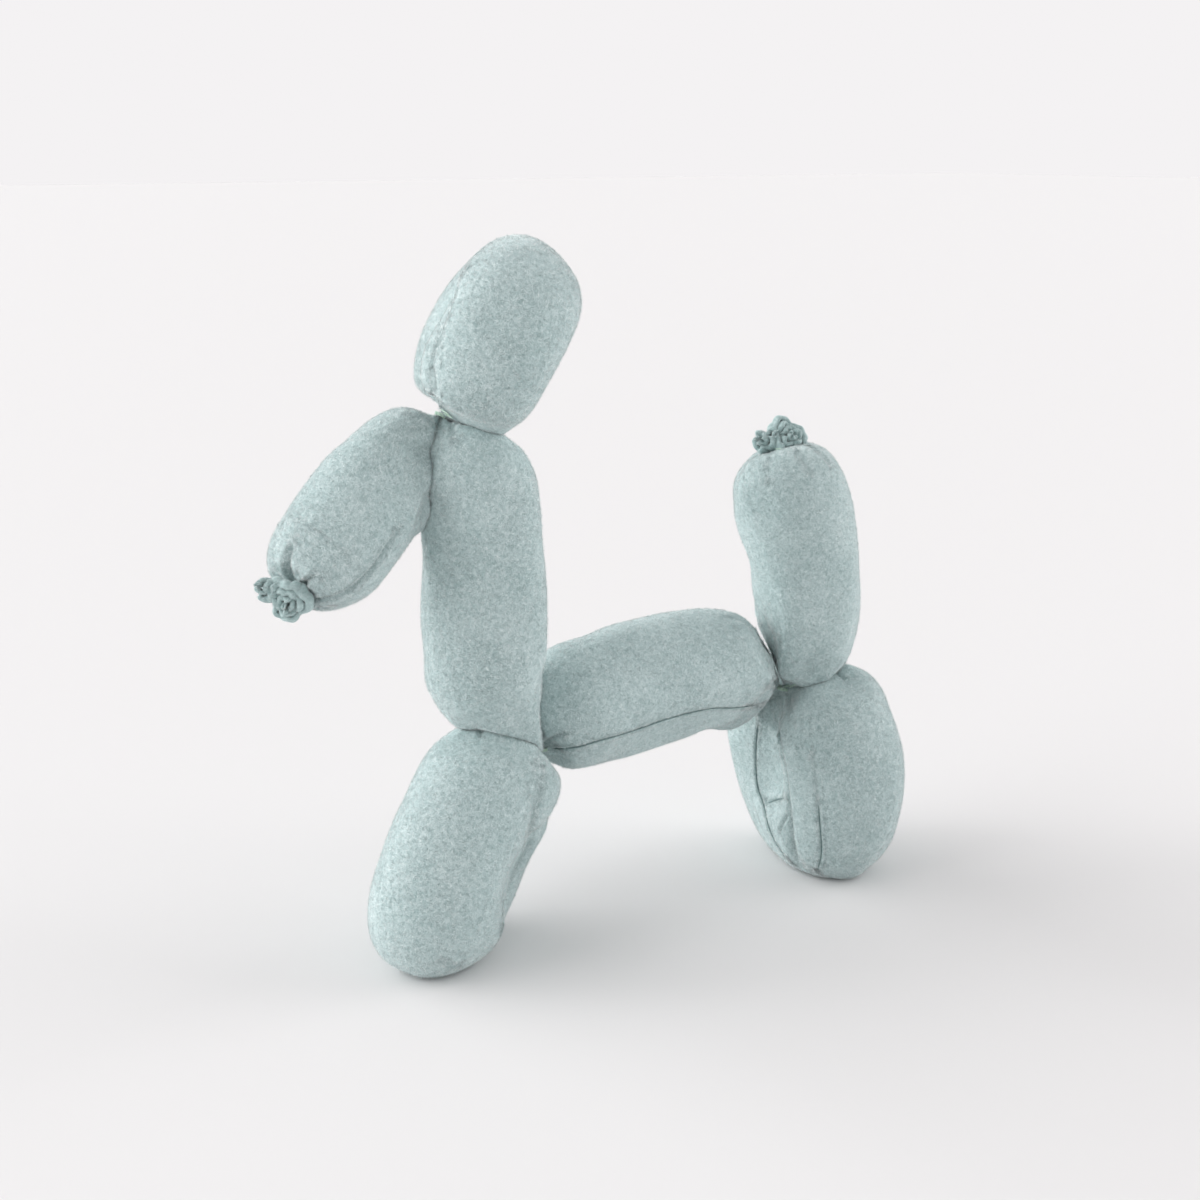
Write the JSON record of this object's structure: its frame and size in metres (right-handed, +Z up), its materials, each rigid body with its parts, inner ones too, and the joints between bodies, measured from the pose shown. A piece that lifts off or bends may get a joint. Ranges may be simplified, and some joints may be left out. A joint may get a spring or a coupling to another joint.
{
  "type": "balloon dog soft toy",
  "caption": "Stuffed wool-cloth toy shaped like a twisted balloon dog, with bubbles tied off in line, folded ears and legs, and gathered knots at snout and tail.",
  "frame": {"origin": "middle of the bounding box on the floor that the dog stands on", "axes": "X along the dog, snout toward -X and tail toward +X; +Z up; +Y across, toward the side away from the picture's camera"},
  "size_m": [0.3348, 0.1078, 0.3181],
  "materials": {
    "wool_cloth": "brushed wool, pale blue-green heather",
    "gathered_cloth": "the same cloth drawn in to a ruffle",
    "thread": "wound sewing thread, pale green"
  },
  "bodies": {
    "root": {"snout": "wool_cloth", "ears": "wool_cloth", "neck": "wool_cloth", "front_legs": "wool_cloth", "body": "wool_cloth", "hind_legs": "wool_cloth", "tail": "wool_cloth", "snout_knot": "gathered_cloth", "tail_knot": "gathered_cloth", "head_tie": "thread", "shoulder_tie": "thread", "hip_tie": "thread"}
  },
  "joints": []
}
